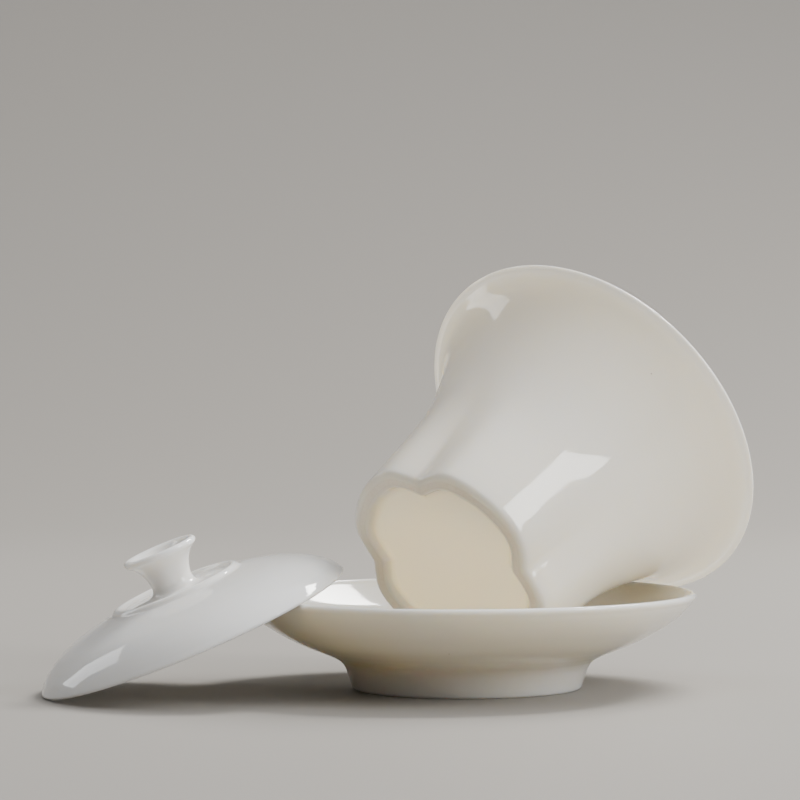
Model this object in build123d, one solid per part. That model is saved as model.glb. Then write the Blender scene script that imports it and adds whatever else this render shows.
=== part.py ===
from build123d import *
import math
import os

# Gaiwan: a lidded porcelain tea bowl with its saucer, three loose pieces.
# Millimetres. The origin is the centre of the saucer's foot, on the table.
# +Z is up. The saucer stands flat, the bowl lies tipped on it with one side
# of its flare on the saucer's lip, and the lid leans from the table onto
# the other side of that lip.

# ---------------------------------------------------------------- dimensions
# saucer
SAUCER_RIM_R = 60.0          # outermost radius
SAUCER_LIP_R = 0.85          # radius of the rounded lip
SAUCER_HEIGHT = 25.1
SAUCER_FLOOR_Z = 9.4         # top of the flat floor
SAUCER_SEAT_Z = 7.4          # plane where the foot ring is luted on
SAUCER_SEAT_R = 33.3         # outer edge of that joint, in the fillet above the foot
SAUCER_FOOT_R = 29.5         # outer edge of the ring that touches the table

# bowl, along its own axis from the foot's resting plane (s = 0)
BOWL_HEIGHT = 68.7
BOWL_RIM_R = 50.5
BOWL_FOOT_HEIGHT = 2.2       # foot ring below the base
BOWL_BASE_T = 2.4            # thickness of the base
BOWL_WALL_T = 1.9            # wall at the foot
BOWL_LIP_T = 1.3             # wall at the rim
BOWL_LOBES_END = 46.0        # the four lobes have faded into a circle here
BOWL_FOOT_ROUND = 1.4        # height of the rounded outer edge of the foot
BOWL_FOOT_BAND = (1.6, 4.2)  # flat resting band, inset from the wall
BOWL_RECESS_IN = 5.6         # inset of the recess at the base
BOWL_LOBE_ANGLE = 46.1       # first lobe, from the bowl's own x

# lid, along its own axis from its rim plane
LID_R = 42.0
LID_T = 1.9
LID_DOME_H = 12.4            # outside, at the knob's seat
LID_RIDGE_R = 16.3           # ring ridge around the knob
LID_LIP_R = 0.7
KNOB_SEAT_R = 6.6
KNOB_H = 11.3
KNOB_RIM_R = 9.9

# how the two loose pieces lie: a point on each axis and its direction
BOWL_FOOT_CENTRE = Vector(-4.95, -21.64, 33.18)
BOWL_AZIMUTH, BOWL_ELEVATION = 49.73, 29.65
LID_RIM_CENTRE = Vector(-70.40, -15.50, 15.90)
LID_AZIMUTH, LID_ELEVATION = 192.5, 67.4


def tilted_plane(origin, azimuth, elevation):
    """Plane whose normal has that azimuth and elevation; its x lies level."""
    az, el = math.radians(azimuth), math.radians(elevation)
    normal = Vector(math.cos(el) * math.cos(az), math.cos(el) * math.sin(az), math.sin(el))
    level = Vector(0, 0, 1).cross(normal).normalized()
    return Plane(origin=origin, x_dir=level, z_dir=normal)


def revolved(*edges):
    """Solid of revolution about Z from a closed chain of edges in XZ."""
    return revolve(make_face(list(edges)), Axis.Z)


def pt(r, z):
    return (r, 0, z)


# -------------------------------------------------------------------- saucer
L = SAUCER_LIP_R
lip_c = (SAUCER_RIM_R - L, SAUCER_HEIGHT - L)
outside = Spline(pt(SAUCER_SEAT_R, SAUCER_SEAT_Z), pt(34.5, 8.15), pt(37.0, 9.3), pt(40.5, 10.7), pt(45.2, 12.7), pt(50.2, 15.4),
                 pt(54.2, 18.0), pt(57.2, 20.6), pt(59.1, 22.8), pt(SAUCER_RIM_R, lip_c[1]),
                 tangents=[(1, 0, 0.72), (0.06, 0, 1)])
lip = ThreePointArc(pt(SAUCER_RIM_R, lip_c[1]), pt(lip_c[0] + L * 0.26, lip_c[1] + L * 0.9656), pt(lip_c[0] - L * 0.85, lip_c[1] + L * 0.527))
inside = Spline(pt(lip_c[0] - L * 0.85, lip_c[1] + L * 0.527), pt(57.2, 23.3), pt(55.0, 21.2), pt(52.2, 18.9),
                pt(48.6, 16.6), pt(43.8, 14.3), pt(37.6, 11.95), pt(30.5, 10.25), pt(23.0, SAUCER_FLOOR_Z),
                tangents=[(-0.53, 0, -0.85), (-1, 0, 0)])
saucer_dish = revolved(
    Line(pt(0, SAUCER_SEAT_Z), pt(SAUCER_SEAT_R, SAUCER_SEAT_Z)), outside, lip, inside,
    Line(pt(23.0, SAUCER_FLOOR_Z), pt(0, SAUCER_FLOOR_Z)), Line(pt(0, SAUCER_FLOOR_Z), pt(0, SAUCER_SEAT_Z)))

foot_out = Spline(pt(SAUCER_FOOT_R, 0), pt(30.3, 1.5), pt(30.85, 2.8), pt(31.4, 4.4), pt(32.2, 6.15), pt(SAUCER_SEAT_R, SAUCER_SEAT_Z),
                  tangents=[(0.5, 0, 0.86), (1, 0, 0.72)])
foot_in = Spline(pt(26.6, SAUCER_SEAT_Z), pt(26.4, 4.0), pt(26.6, 1.3), pt(27.3, 0))
saucer_foot_ring = revolved(
    foot_out, Line(pt(SAUCER_SEAT_R, SAUCER_SEAT_Z), pt(26.6, SAUCER_SEAT_Z)), foot_in, Line(pt(27.3, 0), pt(SAUCER_FOOT_R, 0)))


# ---------------------------------------------------------------------- bowl
def lobe(theta):
    """Departure from the circle at the foot: four lobes with tight notches."""
    t = 4 * (theta - math.radians(BOWL_LOBE_ANGLE))
    return 1.45 * math.cos(t) - 0.77 * math.cos(2 * t) + 0.25 * math.cos(3 * t)


# mean outside radius at each height
WALL = [(0.0, 28.6), (2.2, 28.9), (5.8, 29.25), (10.8, 29.8), (15.8, 30.35), (20.8, 30.95), (25.8, 31.6),
        (30.8, 32.45), (35.8, 33.55), (40.8, 34.95), (46.8, 37.0), (52.8, 39.3), (58.8, 42.0), (63.8, 45.2), (67.4, 49.0)]


def fade(s):
    return (1 + math.cos(math.pi * s / BOWL_LOBES_END)) / 2 if s < BOWL_LOBES_END else 0.0


def wall_t(s):
    return BOWL_WALL_T + (BOWL_LIP_T - BOWL_WALL_T) * s / BOWL_HEIGHT


def mean_r(s):
    """Smooth curve through WALL (cubic Hermite with central slopes)."""
    n = len(WALL)
    slope = []
    for i in range(n):
        lo, hi = max(i - 1, 0), min(i + 1, n - 1)
        slope.append((WALL[hi][1] - WALL[lo][1]) / (WALL[hi][0] - WALL[lo][0]))
    for i in range(n - 1):
        (s0, r0), (s1, r1) = WALL[i], WALL[i + 1]
        if s <= s1 or i == n - 2:
            h = s1 - s0
            t = (s - s0) / h
            return ((2 * t ** 3 - 3 * t ** 2 + 1) * r0 + (t ** 3 - 2 * t ** 2 + t) * h * slope[i]
                    + (3 * t ** 2 - 2 * t ** 3) * r1 + (t ** 3 - t ** 2) * h * slope[i + 1])


def section(s, inset=0.0, soften=1.0, n=48):
    """Lobed closed outline at height s, drawn in by inset."""
    pts = []
    for k in range(n):
        a = 2 * math.pi * k / n
        r = mean_r(s) + fade(s) * soften * lobe(a) - inset
        pts.append((r * math.cos(a), r * math.sin(a), s))
    return Face(Wire(Spline(*pts, periodic=True)))


heights = [BOWL_FOOT_HEIGHT, 5, 10, 15, 20, 25, 30, 35, 40, 44, 46, 48]
outer = loft([section(s) for s in heights])
floor_s = BOWL_FOOT_HEIGHT + BOWL_BASE_T
inner_s = [(floor_s, 7.5, 0.5), (floor_s + 0.6, 4.6, 0.8), (floor_s + 2.2, 2.6, 0.95)]
inner_s += [(s, wall_t(s), 1.0) for s in heights[2:]]
inner = loft([section(s, i, k) for s, i, k in inner_s])

# the round flare starts just below the height where the lobes end, and its
# wall encloses the lofted wall by SEAM on both sides, so that the two fuse
SEAM = 0.05
e = BOWL_LOBES_END - 0.5
flare_s = [e, 48, 51, 54, 57, 60, 63, 65.3, 67.4]
flare_out = [(mean_r(s) + SEAM, s) for s in flare_s]
flare_in = [(mean_r(s) - 1.06 * wall_t(s) - SEAM - 0.75 * ((s - e) / (67.4 - e)) ** 2 * BOWL_LIP_T / 2, s) for s in flare_s]
t_lip = BOWL_LIP_T / 2
rim_c = (BOWL_RIM_R - t_lip, BOWL_HEIGHT - t_lip)
lip_out = (rim_c[0] + t_lip * 0.96, rim_c[1] - t_lip * 0.28)
lip_in = (rim_c[0] - t_lip * 0.96, rim_c[1] + t_lip * 0.28)
flare = revolved(
    Spline(*[pt(*p) for p in flare_out], tangents=[(0.37, 0, 1), (1.15, 0, 1)]),
    Line(pt(*flare_out[-1]), pt(*lip_out)),
    ThreePointArc(pt(*lip_out), pt(rim_c[0], BOWL_HEIGHT), pt(*lip_in)),
    Line(pt(*lip_in), pt(*flare_in[-1])),
    Spline(*[pt(*p) for p in reversed(flare_in)], tangents=[(-1.15, 0, -1), (-0.37, 0, -1)]),
    Line(pt(*flare_in[0]), pt(*flare_out[0])))

# foot ring: flush with the wall above, rounded outside, a flat resting band,
# and an inner side that slopes up to the recessed base
band_out, band_in = BOWL_FOOT_BAND


def rounded(s):
    return band_out * (1 - math.sqrt(1 - (1 - s / BOWL_FOOT_ROUND) ** 2))


ring_out = loft([section(s, rounded(s)) for s in (0.0, 0.1, 0.3, 0.6, 1.0, BOWL_FOOT_ROUND)] + [section(BOWL_FOOT_HEIGHT)], ruled=True)
slope = (BOWL_RECESS_IN - band_in) / BOWL_FOOT_HEIGHT
ring_in = loft([section(-0.5, band_in - 0.5 * slope), section(BOWL_FOOT_HEIGHT + 0.5, BOWL_RECESS_IN + 0.5 * slope)], ruled=True)
bowl_body = (outer - inner) + flare
bowl_foot_ring = ring_out - ring_in
bowl_plane = tilted_plane(BOWL_FOOT_CENTRE, BOWL_AZIMUTH, BOWL_ELEVATION)
bowl_body = bowl_plane.location * bowl_body
bowl_foot_ring = bowl_plane.location * bowl_foot_ring

# ----------------------------------------------------------------------- lid
dome_out = Spline(pt(LID_R, 0.75), pt(41.2, 2.0), pt(39.5, 3.85), pt(37.0, 5.75), pt(33.0, 8.0), pt(28.0, 9.75), pt(23.0, 10.95), pt(18.4, 11.8),
                  tangents=[(-0.35, 0, 1), (-1, 0, 0.2)])
ridge = Spline(pt(18.4, 11.8), pt(17.3, 12.65), pt(LID_RIDGE_R, 13.2), pt(15.4, 12.8), pt(14.3, 12.15), pt(11.0, 12.0), pt(KNOB_SEAT_R, LID_DOME_H),
               tangents=[(-1, 0, 0.25), (-1, 0, 0.12)])
dome_in = Spline(pt(0, LID_DOME_H - LID_T - 0.2), pt(12.0, 9.9), pt(22.0, 9.0), pt(30.0, 7.05), pt(36.0, 4.35), pt(39.1, 1.9), pt(40.3, 0.45),
                 tangents=[(1, 0, 0), (0.4, 0, -1)])
rim = ThreePointArc(pt(40.3, 0.45), pt(41.2, 0.0), pt(LID_R, 0.75))
lid_dome = revolved(dome_out, ridge, Line(pt(KNOB_SEAT_R, LID_DOME_H), pt(0, LID_DOME_H)),
                    Line(pt(0, LID_DOME_H), pt(0, LID_DOME_H - LID_T - 0.2)), dome_in, rim)

kb = LID_DOME_H
knob_out = Spline(pt(KNOB_SEAT_R, kb), pt(5.7, kb + 0.9), pt(5.45, kb + 2.2), pt(5.6, kb + 3.7), pt(6.15, kb + 5.6), pt(7.1, kb + 7.4), pt(8.3, kb + 8.7), pt(9.4, kb + 9.5),
                  tangents=[(-1, 0, 0.5), (1, 0, 0.6)])
knob_lip = ThreePointArc(pt(9.4, kb + 9.5), pt(KNOB_RIM_R, kb + 10.5), pt(9.0, kb + KNOB_H))
knob_in = Spline(pt(9.0, kb + KNOB_H), pt(7.7, kb + 10.75), pt(5.0, kb + 9.2), pt(0, kb + 8.2),
                 tangents=[(-1, 0, -0.05), (-1, 0, 0)])
lid_knob = revolved(knob_out, knob_lip, knob_in, Line(pt(0, kb + 8.2), pt(0, kb)), Line(pt(0, kb), pt(KNOB_SEAT_R, kb)))

lid_plane = tilted_plane(LID_RIM_CENTRE, LID_AZIMUTH, LID_ELEVATION)
lid_dome = lid_plane.location * lid_dome
lid_knob = lid_plane.location * lid_knob

# ---------------------------------------------------------------------- write
os.makedirs("parts", exist_ok=True)
NODES = {
    "saucer_dish": (saucer_dish, (0.93, 0.90, 0.84)),
    "saucer_foot_ring": (saucer_foot_ring, (0.88, 0.84, 0.76)),
    "bowl_body": (bowl_body, (0.93, 0.89, 0.81)),
    "bowl_foot_ring": (bowl_foot_ring, (0.86, 0.80, 0.70)),
    "lid_dome": (lid_dome, (0.90, 0.91, 0.90)),
    "lid_knob": (lid_knob, (0.95, 0.94, 0.91)),
}
for name, (shape, colour) in NODES.items():
    shape.label = name
    shape.color = Color(*colour)
    export_step(shape, f"parts/{name}.step")
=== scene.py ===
import math

import bpy
import bmesh
from mathutils import Matrix, Vector


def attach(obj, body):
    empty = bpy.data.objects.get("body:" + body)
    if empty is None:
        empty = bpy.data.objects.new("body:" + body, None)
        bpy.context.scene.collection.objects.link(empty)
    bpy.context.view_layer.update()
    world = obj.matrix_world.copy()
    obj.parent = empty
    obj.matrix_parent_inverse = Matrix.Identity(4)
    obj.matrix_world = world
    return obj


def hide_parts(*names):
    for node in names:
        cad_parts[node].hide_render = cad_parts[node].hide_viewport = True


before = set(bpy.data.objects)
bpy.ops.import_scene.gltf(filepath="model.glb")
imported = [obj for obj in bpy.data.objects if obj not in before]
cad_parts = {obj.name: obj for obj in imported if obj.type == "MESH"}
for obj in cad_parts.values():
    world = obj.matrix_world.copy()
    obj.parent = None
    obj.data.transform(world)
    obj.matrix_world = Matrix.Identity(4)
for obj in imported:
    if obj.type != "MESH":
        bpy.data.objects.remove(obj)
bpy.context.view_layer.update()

MM = 0.001
AROUND = 336                     # points round each piece

# ------------------------------------------------------------------ placement
# the same axes as the CAD: saucer upright, bowl tipped on it, lid leaning


def placed(origin, azimuth, elevation):
    az, el = math.radians(azimuth), math.radians(elevation)
    z = Vector((math.cos(el) * math.cos(az), math.cos(el) * math.sin(az), math.sin(el)))
    x = Vector((0, 0, 1)).cross(z).normalized()
    y = z.cross(x)
    m = Matrix((x, y, z)).transposed().to_4x4()
    m.translation = Vector(origin) * MM
    return m


UPRIGHT = Matrix.Identity(4)
BOWL = placed((-4.95, -21.64, 33.18), 49.73, 29.65)
LID = placed((-70.40, -15.50, 15.90), 192.5, 67.4)


# ------------------------------------------------------------------ curves
def hermite(points, n_per=8, start=None, end=None):
    """Smooth curve through (a, b) points; chord-length Catmull-Rom, end slopes optional."""
    p = [Vector(q) for q in points]
    t = [0.0]
    for a, b in zip(p, p[1:]):
        t.append(t[-1] + max((b - a).length, 1e-6))
    m = []
    for i in range(len(p)):
        if i == 0:
            d = (p[1] - p[0]) / (t[1] - t[0])
            if start:
                d = Vector(start).normalized()
        elif i == len(p) - 1:
            d = (p[-1] - p[-2]) / (t[-1] - t[-2])
            if end:
                d = Vector(end).normalized()
        else:
            h0, h1 = t[i] - t[i - 1], t[i + 1] - t[i]
            d = ((p[i] - p[i - 1]) / h0 * h1 + (p[i + 1] - p[i]) / h1 * h0) / (h0 + h1)
        m.append(d)
    out = []
    for i in range(len(p) - 1):
        h = t[i + 1] - t[i]
        k = max(2, int(n_per * max(1.0, h / 2.5)))
        for j in range(k):
            s = j / k
            out.append((2 * s ** 3 - 3 * s ** 2 + 1) * p[i] + (s ** 3 - 2 * s ** 2 + s) * h * m[i]
                       + (3 * s ** 2 - 2 * s ** 3) * p[i + 1] + (s ** 3 - s ** 2) * h * m[i + 1])
    out.append(p[-1])
    return [tuple(q) for q in out]


def arc(cx, cy, r, a0, a1, n):
    """Points of an arc from a0 to a1 degrees, ends left out."""
    return [(cx + r * math.cos(math.radians(a0 + (a1 - a0) * i / (n + 1))),
             cy + r * math.sin(math.radians(a0 + (a1 - a0) * i / (n + 1)))) for i in range(1, n + 1)]


# ------------------------------------------------------------------ meshes
def skin(name, rows, place, body, nodes, marks=None, lip=None, bare=None, thin=None, painted_flare_shade=None):
    """Closed smooth mesh. rows is a list of rings (AROUND points each) or single
    points (poles), in order along the surface; marks are row indices whose ring
    is a true edge. lip, bare, thin and painted_flare_shade give 0..1 for each row;
    painted_flare_shade marks painted shade and a painted warm reflection, a darker warmer tone."""
    verts, index = [], []
    for row in rows:
        if len(row) == 3 and not hasattr(row[0], "__len__"):
            index.append([len(verts)])
            verts.append(row)
        else:
            index.append(list(range(len(verts), len(verts) + len(row))))
            verts.extend(row)
    faces = []
    for a, b in zip(index, index[1:]):
        if len(a) == 1:
            faces += [(a[0], b[(i + 1) % len(b)], b[i]) for i in range(len(b))]
        elif len(b) == 1:
            faces += [(a[i], a[(i + 1) % len(a)], b[0]) for i in range(len(a))]
        else:
            n = len(a)
            faces += [(a[i], a[(i + 1) % n], b[(i + 1) % n], b[i]) for i in range(n)]
    if len(index[0]) > 1:            # a ring-shaped piece closes on itself
        a, b, n = index[-1], index[0], len(index[0])
        faces += [(a[i], a[(i + 1) % n], b[(i + 1) % n], b[i]) for i in range(n)]
    mesh = bpy.data.meshes.new(name)
    mesh.from_pydata([Vector(v) * MM for v in verts], [], faces)
    mesh.transform(place)
    bm = bmesh.new()
    bm.from_mesh(mesh)
    bmesh.ops.recalc_face_normals(bm, faces=bm.faces)
    for f in bm.faces:
        f.smooth = True
    bm.verts.ensure_lookup_table()
    for r in marks or []:
        ring = index[r]
        for i in range(len(ring)):
            e = bm.edges.get((bm.verts[ring[i]], bm.verts[ring[(i + 1) % len(ring)]]))
            if e:
                e.smooth = False
    bm.to_mesh(mesh)
    bm.free()
    for key, values in (("lip", lip), ("bare", bare), ("thin", thin), ("painted_flare_shade", painted_flare_shade)):
        att = mesh.attributes.new(key, "FLOAT", "POINT")
        data = [0.0] * len(verts)
        if values:
            for r, ids in enumerate(index):
                for i in ids:
                    data[i] = values[r] if not callable(values[r]) else values[r](i - ids[0])
        att.data.foreach_set("value", data)
    obj = bpy.data.objects.new(name, mesh)
    bpy.context.scene.collection.objects.link(obj)
    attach(obj, body)
    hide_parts(*nodes)
    return obj


def ring(r, z, n=AROUND):
    return [(r * math.cos(2 * math.pi * i / n), r * math.sin(2 * math.pi * i / n), z) for i in range(n)]


def turned(profile):
    """Rows of a surface of revolution; r = 0 gives a pole."""
    return [(0.0, 0.0, z) if r < 1e-6 else ring(r, z) for r, z in profile]


def blend01(x, a, b):
    t = min(max((x - a) / (b - a), 0.0), 1.0)
    return t * t * (3 - 2 * t)


# ------------------------------------------------------------------ saucer
SEAT, SEAT_R, FLOOR = 7.4, 33.3, 9.4
LIP = 0.85
lip_c = (60.0 - LIP, 25.1 - LIP)
outside = hermite([(SEAT_R, SEAT), (34.5, 8.15), (37.0, 9.3), (40.5, 10.7), (45.2, 12.7), (50.2, 15.4), (54.2, 18.0), (57.2, 20.6),
                   (59.1, 22.8), (60.0, lip_c[1])], start=(1, 0.72), end=(0.06, 1))
lip_arc = arc(lip_c[0], lip_c[1], LIP, 0, 148, 18)
lip_in = (lip_c[0] + LIP * math.cos(math.radians(148)), lip_c[1] + LIP * math.sin(math.radians(148)))
inside = hermite([lip_in, (57.2, 23.3), (55.0, 21.2), (52.2, 18.9), (48.6, 16.6), (43.8, 14.3), (37.6, 11.95),
                  (30.5, 10.25), (23.0, FLOOR)], start=(-0.53, -0.85), end=(-1, 0))
outside = outside[1:]
foot_in = hermite([(22.5, SEAT), (24.6, SEAT - 0.12), (25.9, SEAT - 0.9), (26.4, SEAT - 2.4), (26.4, 4.0), (26.55, 1.3),
                   (26.95, 0.35), (27.45, 0.02)], start=(1, 0), end=(1, -0.15))
foot_base = [(27.75, 0.0), (28.2, 0.0), (28.7, 0.0), (29.2, 0.0)]
foot_out = hermite([(29.5, 0.03), (29.95, 0.35), (30.3, 1.2), (30.75, 2.6), (31.35, 4.3), (32.2, 6.15), (SEAT_R, SEAT)],
                   start=(1, 0.15), end=(1, 0.72))
floor_in = [(r, FLOOR) for r in (19, 14, 9, 4, 1.5)] + [(0, FLOOR)]
profile = ([(0, SEAT)] + [(r, SEAT) for r in (3, 8, 13, 18, 21)] + foot_in + foot_base + foot_out + outside
           + lip_arc + inside + floor_in)
profile = [(r, max(z, 0.0)) for r, z in profile]
saucer = skin("saucer_dish_and_foot", turned(profile), UPRIGHT, "saucer", ["saucer_dish", "saucer_foot_ring"],
              lip=[blend01(z, 23.9, 25.0) if r > 57 else 0.0 for r, z in profile],
              bare=[blend01(r, 27.5, 27.8) * (1 - blend01(r, 29.1, 29.5)) if z < 0.05 else 0.0 for r, z in profile],
              thin=[1 - blend01(r, 18, 26) for r, z in profile])

# ------------------------------------------------------------------ bowl
H, RIM_R, FOOT_H, BASE_T = 68.7, 50.5, 2.2, 2.4
WALL = [(0.0, 28.6), (2.2, 28.9), (5.8, 29.25), (10.8, 29.8), (15.8, 30.35), (20.8, 30.95), (25.8, 31.6),
        (30.8, 32.45), (35.8, 33.55), (40.8, 34.95), (46.8, 37.0), (52.8, 39.3), (58.8, 42.0), (63.8, 45.2), (67.4, 49.0)]
TOP = 67.4
LOBES_END = 46.0


def mean_r(s):
    n = len(WALL)
    slope = []
    for i in range(n):
        lo, hi = max(i - 1, 0), min(i + 1, n - 1)
        slope.append((WALL[hi][1] - WALL[lo][1]) / (WALL[hi][0] - WALL[lo][0]))
    for i in range(n - 1):
        (s0, r0), (s1, r1) = WALL[i], WALL[i + 1]
        if s <= s1 or i == n - 2:
            h = s1 - s0
            t = (s - s0) / h
            return ((2 * t ** 3 - 3 * t ** 2 + 1) * r0 + (t ** 3 - 2 * t ** 2 + t) * h * slope[i]
                    + (3 * t ** 2 - 2 * t ** 3) * r1 + (t ** 3 - t ** 2) * h * slope[i + 1])


def fade(s):
    return (1 + math.cos(math.pi * s / LOBES_END)) / 2 if 0 <= s < LOBES_END else (1.0 if s < 0 else 0.0)


def wall_t(s):
    return 1.9 + (1.3 - 1.9) * s / H


def lobe(theta):
    t = 4 * (theta - math.radians(46.1))
    return 1.45 * math.cos(t) - 0.77 * math.cos(2 * t) + 0.25 * math.cos(3 * t)


def notch(theta):
    """The crease where two lobes meet, a little tighter than the CAD's wave."""
    d = (math.degrees(theta) - 46.1 - 45.0 + 45.0) % 90.0 - 45.0
    return -0.42 * math.exp(-(d / 3.4) ** 2)


LOBE = [lobe(2 * math.pi * i / AROUND) for i in range(AROUND)]
NOTCH = [notch(2 * math.pi * i / AROUND) for i in range(AROUND)]


def lobed(s, r, amount, n=AROUND):
    """Ring at height s with mean radius r; amount scales the four lobes."""
    wave = [r + amount * LOBE[i] + amount ** 2 * NOTCH[i] for i in range(n)]
    return [(wave[i] * math.cos(2 * math.pi * i / n), wave[i] * math.sin(2 * math.pi * i / n), s) for i in range(n)]


rows, lipv, thinv, marks = [(0.0, 0.0, FOOT_H)], [0.0], [1.0], []


def add(row, l=0.0, t=0.0):
    rows.append(row)
    lipv.append(l)
    thinv.append(t)


r0 = mean_r(FOOT_H)
barev = []
for k in (0.08, 0.2, 0.33, 0.45, 0.54):                             # recessed base
    add(lobed(FOOT_H, r0 * k, k ** 2), t=1.0)
add(lobed(FOOT_H, r0 - 10.6, 0.7), t=1.0)
inner = hermite([(8.2, 2.2), (6.8, 2.12), (5.7, 1.6), (5.1, 0.9), (4.65, 0.3), (4.2, 0.03)], n_per=5, start=(-1, 0), end=(-1, -0.15))
band = [(3.9, 0.0), (3.4, 0.0), (2.8, 0.0), (2.2, 0.0), (1.9, 0.0)]
outer = [(1.6 * (1 - math.cos(math.radians(a))), 1.4 * (1 - math.sin(math.radians(a)))) for a in range(90, -1, -7)]
for inset, s in inner + band + outer:                               # (inset from the wall, height)
    add(lobed(max(s, 0.0), mean_r(max(s, 0.0)) - inset, 1.0), t=blend01(inset, 3.6, 6.6))
    barev.append((len(rows) - 1, 0.35 if s < 0.01 and 2.0 < inset < 3.8 else 0.0))
n_wall = 124
for i in range(1, n_wall + 1):                                      # outside wall
    s = 1.4 + (TOP - 1.4) * i / n_wall
    add(lobed(s, mean_r(s), fade(s)), l=blend01(s, TOP - 1.6, TOP) * 0.4, t=0.25 * (1 - blend01(s, 4, 16)))
t_lip = 0.65
rim_c = (RIM_R - t_lip, H - t_lip)
for a in range(-30, 181, 15):                                      # rounded lip
    k = math.radians(a)
    r, s = rim_c[0] + t_lip * math.cos(k), rim_c[1] + t_lip * math.sin(k)
    add(ring(r, s), l=1.0 if a < 150 else 0.8)
floor_s = FOOT_H + BASE_T
wall_in = []
n_in = 100
for i in range(n_in + 1):                                           # inside wall, top to floor
    s = 67.1 - (67.1 - floor_s - 4.0) * i / n_in
    t = wall_t(s) * (1.0 + 0.42 * blend01(s, 46, 66.8))
    add(lobed(s, mean_r(s) - t, fade(s)), l=0.5 * blend01(s, 65.6, 67.1))
r_b, s_b = mean_r(floor_s + 4.0) - wall_t(floor_s + 4.0), floor_s + 4.0
for a in range(8, 91, 8):                                          # cove to the floor
    k = math.radians(a)
    add(lobed(s_b - 4.0 * math.sin(k), r_b - 4.6 * (1 - math.cos(k)), fade(s_b) * (1 - 0.45 * blend01(a, 0, 90))), t=0.3)
for k in (0.8, 0.6, 0.4, 0.2, 0.08):
    add(lobed(floor_s, r_b * k * 0.98, 0.5 * k ** 2), t=1.0)
rows.append((0.0, 0.0, floor_s)); lipv.append(0.0); thinv.append(1.0)
bare_of = dict(barev)
# the flare rows (s 34 to 60, outside and inside) get painted shade and a painted warm reflection: a darker, warmer tone
bowl = skin("bowl_body_and_foot", rows, BOWL, "bowl", ["bowl_body", "bowl_foot_ring"], lip=lipv, thin=thinv,
            bare=[bare_of.get(i, 0.0) for i in range(len(rows))],
            painted_flare_shade=[blend01(row[0][2], 34, 60) if len(row) > 3 else 0.0 for row in rows])

# ------------------------------------------------------------------ lid
R_LID, KB = 42.0, 12.4
dome_out = hermite([(R_LID, 0.75), (41.2, 2.0), (39.5, 3.9), (37.0, 5.8), (33.0, 8.0), (28.0, 9.75), (23.0, 10.95), (18.4, 11.8)],
                   start=(-0.35, 1), end=(-1, 0.2))
ridge = hermite([(18.4, 11.8), (17.75, 12.15), (17.2, 12.75), (16.7, 13.1), (16.2, 13.2), (15.7, 13.08), (15.25, 12.7), (14.6, 12.25),
                 (13.4, 12.0), (10.5, 12.0), (8.4, 12.15)], start=(-1, 0.25), end=(-1, 0.1))[1:]
knob_out = hermite([(8.4, 12.15), (7.2, KB + 0.0), (6.25, KB + 0.45), (5.7, KB + 1.2), (5.45, KB + 2.4), (5.6, KB + 3.8), (6.15, KB + 5.6),
                    (7.1, KB + 7.4), (8.3, KB + 8.7), (9.3, KB + 9.45)], start=(-1, 0.1), end=(1, 0.65))[1:]
knob_lip = hermite([(9.3, KB + 9.45), (9.8, KB + 10.0), (9.87, KB + 10.6), (9.55, KB + 11.1), (8.95, KB + 11.3)], n_per=7,
                   start=(1, 0.65), end=(-1, -0.05))[1:]
knob_in = hermite([(8.95, KB + 11.3), (8.2, KB + 11.05), (6.9, KB + 10.3), (5.0, KB + 9.2), (2.6, KB + 8.4), (0.9, KB + 8.2)],
                  start=(-1, -0.05), end=(-1, 0))[1:]
dome_in = [(0, 10.3)] + hermite([(0.8, 10.3), (12.0, 9.9), (22.0, 9.0), (30.0, 7.05), (36.0, 4.35), (39.1, 1.9), (40.3, 0.45)],
                                start=(1, 0), end=(0.4, -1))
lid_rim = arc(41.18, 0.81, 0.80, 206, 356, 10)
profile = dome_in + lid_rim + dome_out + ridge + knob_out + knob_lip + knob_in + [(0, KB + 8.2)]
lid = skin("lid_dome_and_knob", turned(profile), LID, "lid", ["lid_dome", "lid_knob"],
           lip=[blend01(0.95 - z, 0.0, 0.5) if r > 40 else
                (0.7 * blend01(z, 12.8, 13.15) if 15.3 < r < 17.3 and z < 13.5 else
                 (blend01(z, KB + 9.2, KB + 10.2) if r > 7.5 else 0.0)) for r, z in profile])


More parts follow.
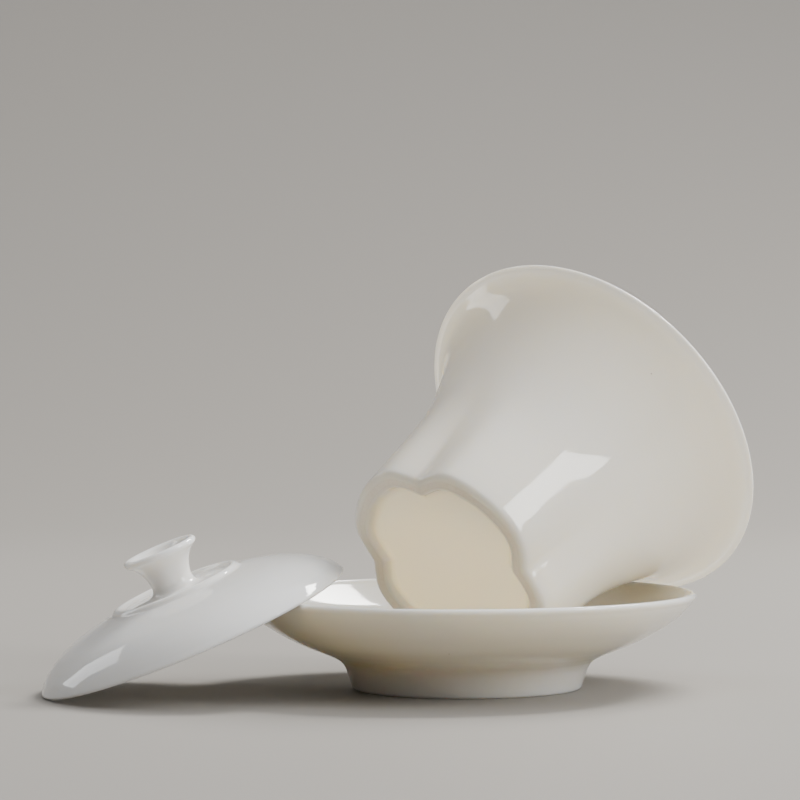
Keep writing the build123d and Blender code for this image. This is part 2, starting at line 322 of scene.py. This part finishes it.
# ------------------------------------------------------------------ material
def porcelain(name, colour, warm, lip_colour, sss, radius, seed):
    m = bpy.data.materials.new(name)
    m.use_nodes = True
    nt = m.node_tree
    nt.nodes.clear()
    N, L = nt.nodes.new, nt.links.new
    out = N("ShaderNodeOutputMaterial")
    b = N("ShaderNodeBsdfPrincipled")
    L(b.outputs["BSDF"], out.inputs["Surface"])
    tc = N("ShaderNodeTexCoord")

    def noise(scale, detail, rough=0.5, w=0.0):
        n = N("ShaderNodeTexNoise")
        n.noise_dimensions = "4D"
        n.inputs["Scale"].default_value = scale
        n.inputs["Detail"].default_value = detail
        n.inputs["Roughness"].default_value = rough
        n.inputs["W"].default_value = w + seed
        L(tc.outputs["Object"], n.inputs["Vector"])
        return n

    def mix(fac, a, c, blend="MIX"):
        n = N("ShaderNodeMix")
        n.data_type = "RGBA"
        n.blend_type = blend
        for sock, v in ((n.inputs[0], fac), (n.inputs[6], a), (n.inputs[7], c)):
            if hasattr(v, "is_linked"):
                L(v, sock)
            elif isinstance(v, (tuple, list)):
                sock.default_value = (*v, 1.0)
            else:
                sock.default_value = v
        return n.outputs[2]

    def remap(v, a, c, lo, hi):
        n = N("ShaderNodeMapRange")
        n.interpolation_type = "SMOOTHSTEP"
        L(v, n.inputs["Value"])
        for k, x in (("From Min", a), ("From Max", c), ("To Min", lo), ("To Max", hi)):
            n.inputs[k].default_value = x
        return n.outputs["Result"]

    def attribute(key):
        n = N("ShaderNodeAttribute")
        n.attribute_name = key
        return n.outputs["Fac"]

    def math2(op, a, c):
        n = N("ShaderNodeMath")
        n.operation = op
        for sock, v in ((n.inputs[0], a), (n.inputs[1], c)):
            if hasattr(v, "is_linked"):
                L(v, sock)
            else:
                sock.default_value = v
        return n.outputs[0]

    # broad drift of the ivory tone, then a finer mottling under the glaze
    broad = remap(noise(18.0, 2.0).outputs["Fac"], 0.36, 0.64, 0.0, 1.0)
    tone = mix(broad, colour, warm)
    fine = remap(noise(140.0, 4.0, 0.6, 3.0).outputs["Fac"], 0.3, 0.75, 0.0, 0.10)
    tone = mix(fine, tone, (0.80, 0.74, 0.62))
    tone = mix(math2("MULTIPLY", attribute("lip"), 0.6), tone, lip_colour)
    tone = mix(math2("MULTIPLY", attribute("thin"), 0.8), tone, warm)
    # painted shade and painted warm reflection: the flare is mixed toward a darker warm brown
    tone = mix(math2("MULTIPLY", attribute("painted_flare_shade"), 0.5), tone, (0.77, 0.695, 0.585))
    # rare iron specks: small cells, of which only a few are dark
    vor = N("ShaderNodeTexVoronoi")
    vor.inputs["Scale"].default_value = 230.0
    vor.inputs["Randomness"].default_value = 1.0
    L(tc.outputs["Object"], vor.inputs["Vector"])
    sep = N("ShaderNodeSeparateColor")
    L(vor.outputs["Color"], sep.inputs["Color"])
    rare = remap(sep.outputs["Red"], 0.985, 0.99, 0.0, 1.0)
    near = remap(vor.outputs["Distance"], 0.035, 0.06, 1.0, 0.0)
    speck = math2("MULTIPLY", rare, near)
    tone = mix(math2("MULTIPLY", speck, 0.55), tone, (0.20, 0.13, 0.08))
    # unglazed biscuit where a foot touches the table
    biscuit = mix(remap(noise(900.0, 2.0, 0.6, 7.0).outputs["Fac"], 0.35, 0.7, 0.0, 1.0), (0.74, 0.68, 0.60), (0.62, 0.54, 0.45))
    tone = mix(attribute("bare"), tone, biscuit)
    L(tone, b.inputs["Base Color"])
    rough = remap(noise(60.0, 3.0, 0.5, 11.0).outputs["Fac"], 0.3, 0.7, 0.045, 0.085)
    rough_all = N("ShaderNodeMix")
    rough_all.data_type = "FLOAT"
    L(attribute("bare"), rough_all.inputs[0])
    L(rough, rough_all.inputs[2])
    rough_all.inputs[3].default_value = 0.75
    L(rough_all.outputs[0], b.inputs["Roughness"])
    b.inputs["IOR"].default_value = 1.5
    b.subsurface_method = "RANDOM_WALK"
    L(remap(attribute("thin"), 0.0, 1.0, sss, 1.0), b.inputs["Subsurface Weight"])
    b.inputs["Subsurface Radius"].default_value = radius
    b.inputs["Subsurface Scale"].default_value = 1.0
    b.inputs["Subsurface Anisotropy"].default_value = 0.3
    # the faint waviness of a fired glaze, and the tooth of the biscuit
    wave = N("ShaderNodeBump")
    wave.inputs["Strength"].default_value = 0.25
    wave.inputs["Distance"].default_value = 0.00006
    L(noise(110.0, 1.0, 0.4, 17.0).outputs["Fac"], wave.inputs["Height"])
    tooth = N("ShaderNodeBump")
    tooth.inputs["Distance"].default_value = 0.00004
    L(math2("MULTIPLY", attribute("bare"), 0.6), tooth.inputs["Strength"])
    L(noise(1500.0, 2.0, 0.6, 23.0).outputs["Fac"], tooth.inputs["Height"])
    L(wave.outputs["Normal"], tooth.inputs["Normal"])
    L(tooth.outputs["Normal"], b.inputs["Normal"])
    return m


ivory = porcelain("ivory_porcelain_bowl", (0.83, 0.80, 0.74), (0.835, 0.79, 0.70), (0.90, 0.885, 0.84), 0.6, (0.0090, 0.0075, 0.0053), 0.0)
ivory_saucer = porcelain("ivory_porcelain_saucer", (0.82, 0.79, 0.72), (0.84, 0.785, 0.675), (0.90, 0.885, 0.84), 0.55, (0.0060, 0.0049, 0.0034), 31.0)
white = porcelain("white_porcelain_lid", (0.80, 0.795, 0.775), (0.79, 0.775, 0.745), (0.90, 0.89, 0.86), 0.5, (0.0042, 0.0038, 0.0032), 57.0)
for obj, mat in ((saucer, ivory_saucer), (bowl, ivory), (lid, white)):
    obj.data.materials.clear()
    obj.data.materials.append(mat)


# ------------------------------------------------------------------ stage
def plain(name, colour, rough):
    m = bpy.data.materials.new(name)
    m.use_nodes = True
    b = m.node_tree.nodes["Principled BSDF"]
    b.inputs["Base Color"].default_value = (*colour, 1.0)
    b.inputs["Roughness"].default_value = rough
    return m


half, near, far, bend, rise = 3.0, -2.6, 0.75, 1.1, 3.0
prof = [(near, 0.0), (far, 0.0)]
prof += [(far + bend * math.sin(math.radians(a)), bend - bend * math.cos(math.radians(a))) for a in range(3, 91, 3)]
prof += [(far + bend, rise)]
v = [(x, y, z) for y, z in prof for x in (-half, half)]
f = [(2 * i, 2 * i + 1, 2 * i + 3, 2 * i + 2) for i in range(len(prof) - 1)]
sweep_mesh = bpy.data.meshes.new("studio_sweep")
sweep_mesh.from_pydata(v, [], f)
for p in sweep_mesh.polygons:
    p.use_smooth = True
sweep = bpy.data.objects.new("studio_sweep", sweep_mesh)
bpy.context.scene.collection.objects.link(sweep)
sweep.data.materials.append(plain("pale_floor", (0.29, 0.272, 0.248), 0.6))

world = bpy.data.worlds.new("studio")
bpy.context.scene.world = world
world.use_nodes = True
wt = world.node_tree
bg = wt.nodes["Background"]
bg.inputs["Color"].default_value = (0.97, 0.98, 1.0, 1.0)
sky = wt.nodes.new("ShaderNodeTexCoord")
dot = wt.nodes.new("ShaderNodeVectorMath")
dot.operation = "DOT_PRODUCT"
dot.inputs[1].default_value = (0.48, -0.20, 0.854)
wt.links.new(sky.outputs["Generated"], dot.inputs[0])
dome = wt.nodes.new("ShaderNodeMapRange")
dome.interpolation_type = "SMOOTHSTEP"
for key, value in (("From Min", 0.28), ("From Max", 1.0), ("To Min", 0.03), ("To Max", 1.85)):
    dome.inputs[key].default_value = value
wt.links.new(dot.outputs["Value"], dome.inputs["Value"])
wt.links.new(dome.outputs["Result"], bg.inputs["Strength"])


def softbox(name, azimuth, elevation, distance, size, energy, colour=(1, 1, 1), aim=(0.0, 0.0, 0.04)):
    data = bpy.data.lights.new(name, "AREA")
    data.shape = "RECTANGLE"
    data.size, data.size_y = size
    data.energy = energy
    data.color = colour
    o = bpy.data.objects.new(name, data)
    bpy.context.scene.collection.objects.link(o)
    az, el = math.radians(azimuth), math.radians(elevation)
    d = Vector((math.cos(el) * math.cos(az), math.cos(el) * math.sin(az), math.sin(el)))
    o.location = Vector(aim) + d * distance
    o.rotation_mode = "QUATERNION"
    o.rotation_quaternion = d.to_track_quat("Z", "Y")
    return o


softbox("key_right_back", 44, 50, 1.35, (0.42, 0.42), 30.0, (1.0, 0.985, 0.955))
softbox("window_right", -24, 27, 1.3, (0.26, 0.72), 9.5, (0.98, 0.99, 1.0))
softbox("window_left", 152, 24, 1.4, (0.42, 0.66), 3.4, (0.96, 0.98, 1.0))

# ------------------------------------------------------------------ camera
cam_data = bpy.data.cameras.new("camera")
cam = bpy.data.objects.new("camera", cam_data)
bpy.context.scene.collection.objects.link(cam)
right = Vector((0.9997959, 0.0196542, -0.0046801))
up = Vector((0.0044048, 0.0140258, 0.9998919))
forward = Vector((-0.0197177, 0.9997085, -0.0139364))
m = Matrix((right, up, -forward)).transposed().to_4x4()
m.translation = Vector((0.0, -0.8731921, 0.0877107))
cam.matrix_world = m
cam_data.sensor_width = 36.0
cam_data.lens = 3333.0 * 36.0 / 800.0
cam_data.clip_start, cam_data.clip_end = 0.01, 50.0
bpy.context.scene.camera = cam
